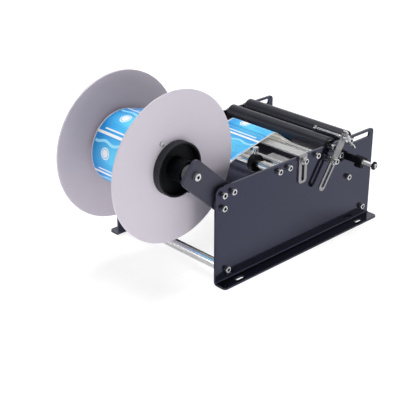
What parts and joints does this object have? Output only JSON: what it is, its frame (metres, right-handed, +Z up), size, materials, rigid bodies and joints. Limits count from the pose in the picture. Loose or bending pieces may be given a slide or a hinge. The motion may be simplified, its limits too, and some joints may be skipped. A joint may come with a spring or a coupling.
{
  "type": "manual labeling machine",
  "caption": "Hand-driven roller labeling machine: a label reel on arms feeds a web over rods and a guide strip to rubber rollers between black side plates.",
  "frame": {"origin": "middle of the bounding box, on the plane of the feet", "axes": "+X along the rollers towards the drive spindle, +Y from the reel to the hand slots, +Z up"},
  "size_m": [0.2638, 0.446, 0.2612],
  "materials": {
    "black_paint": "gloss black stove enamel",
    "chrome": "bright chrome plate",
    "bright_steel": "bright zinc and machined steel",
    "stainless": "brushed stainless sheet",
    "disc_grey": "satin grey aluminium",
    "black_plastic": "matte black moulding",
    "black_rubber": "smooth matte rubber",
    "label_print": "satin printed paper",
    "backing": "smooth release paper",
    "cardboard": "wound board"
  },
  "bodies": {
    "frame": {"side_plate_right": "black_paint", "side_plate_left": "black_paint", "reel_arm_right": "black_paint", "reel_arm_left": "black_paint", "arm_screws": "bright_steel", "axle_screws": "bright_steel", "axle_spacers": "bright_steel", "reel_axle": "bright_steel", "frame_screws_right": "bright_steel", "frame_screws_left": "bright_steel", "strip_screws": "bright_steel", "strip_washers": "bright_steel", "rear_roller_axle": "bright_steel", "front_roller_axle": "bright_steel", "pinch_roller_axle": "bright_steel", "rear_tie_rod": "chrome", "front_tie_rod": "chrome", "rear_web_rod": "chrome", "middle_web_rod": "chrome", "front_web_rod": "chrome", "peel_bar": "chrome", "web_deck": "stainless", "drive_bush_right": "black_plastic", "drive_bush_left": "black_plastic", "label_web": "label_print", "backing_paper": "backing"},
    "reel": {"reel_hub_right": "black_plastic", "reel_hub_left": "black_plastic", "disc_ring_right": "disc_grey", "disc_ring_left": "disc_grey", "reel_disc_right": "disc_grey", "reel_disc_left": "disc_grey", "disc_screws": "bright_steel", "reel_bearing_right": "bright_steel", "reel_bearing_left": "bright_steel", "label_core": "cardboard", "label_roll": "label_print"},
    "rear_roller": {"rear_roller_rubber": "black_rubber", "rear_roller_tube": "bright_steel", "rear_roller_bushes": "black_plastic"},
    "front_roller": {"front_roller_rubber": "black_rubber", "front_roller_tube": "bright_steel", "front_roller_bushes": "black_plastic"},
    "pinch_roller": {"pinch_roller_rubber": "black_rubber", "pinch_roller_tube": "bright_steel", "pinch_roller_bushes": "black_plastic"},
    "drive": {"drive_shaft": "bright_steel", "spindle_screw": "bright_steel", "drive_roller_rubber": "black_rubber", "drive_hub": "black_plastic", "spindle_washer": "black_plastic"},
    "guide_strip": {"guide_strip": "stainless"},
    "collar_right": {"web_collar_right": "black_plastic"},
    "collar_left": {"web_collar_left": "black_plastic"},
    "thumb_right": {"thumb_screw_right": "bright_steel"},
    "thumb_left": {"thumb_screw_left": "bright_steel"},
    "stop_clamp": {"stop_clamp": "bright_steel"},
    "stop_arm": {"stop_arm": "stainless"},
    "stop_rod": {"stop_rod": "chrome"},
    "wing_nut": {"stop_wing_nut": "bright_steel"}
  },
  "joints": [
    {"name": "reel_spin", "type": "hinge", "parent": "frame", "child": "reel", "pos_m": [-0.0139, -0.123, 0.1612], "axis": [1, 0, 0], "continuous": true},
    {"name": "drive_spin", "type": "hinge", "parent": "frame", "child": "drive", "pos_m": [-0.0139, 0.173, 0.10414], "axis": [1, 0, 0], "continuous": true},
    {"name": "front_roller_spin", "type": "hinge", "parent": "frame", "child": "front_roller", "pos_m": [-0.0139, 0.167, 0.132], "axis": [1, 0, 0], "continuous": true},
    {"name": "rear_roller_spin", "type": "hinge", "parent": "frame", "child": "rear_roller", "pos_m": [-0.0139, 0.13, 0.132], "axis": [1, 0, 0], "continuous": true},
    {"name": "pinch_roller_spin", "type": "hinge", "parent": "frame", "child": "pinch_roller", "pos_m": [-0.0139, 0.168, 0.07608], "axis": [1, 0, 0], "continuous": true},
    {"name": "guide_strip_lift", "type": "slide", "parent": "frame", "child": "guide_strip", "axis": [0, 0, 1], "range_m": [0, 0.027], "deforming": ["label_web", "backing_paper"]},
    {"name": "collar_right_slide", "type": "slide", "parent": "frame", "child": "collar_right", "axis": [1, 0, 0], "range_m": [-0.0195, 0.034]},
    {"name": "collar_left_slide", "type": "slide", "parent": "frame", "child": "collar_left", "axis": [1, 0, 0], "range_m": [-0.034, 0.0045]},
    {"name": "thumb_right_turn", "type": "hinge", "parent": "collar_right", "child": "thumb_right", "pos_m": [0.0441, 0.02, 0.1277], "axis": [0, 0, 1], "continuous": true},
    {"name": "thumb_left_turn", "type": "hinge", "parent": "collar_left", "child": "thumb_left", "pos_m": [-0.0719, 0.02, 0.1277], "axis": [0, 0, 1], "continuous": true},
    {"name": "stop_pivot", "type": "hinge", "parent": "frame", "child": "stop_clamp", "pos_m": [0.0861, 0.123, 0.1167], "axis": [1, 0, 0], "range_deg": [-10, 20]},
    {"name": "stop_arm_slide", "type": "slide", "parent": "stop_clamp", "child": "stop_arm", "axis": [0, 0.5664, 0.8241], "range_m": [0, 0.038]},
    {"name": "stop_rod_slide", "type": "slide", "parent": "stop_arm", "child": "stop_rod", "axis": [1, 0, 0], "range_m": [-0.006, 0.035]},
    {"name": "stop_wing_nut_turn", "type": "hinge", "parent": "stop_arm", "child": "wing_nut", "pos_m": [0.0981, 0.14272, 0.1454], "axis": [1, 0, 0], "continuous": true}
  ],
  "couplings": [
    {"joint": "drive_spin", "follows": "reel_spin", "ratio": 3.3333},
    {"joint": "front_roller_spin", "follows": "reel_spin", "ratio": -4},
    {"joint": "rear_roller_spin", "follows": "reel_spin", "ratio": -4},
    {"joint": "pinch_roller_spin", "follows": "reel_spin", "ratio": -4}
  ]
}
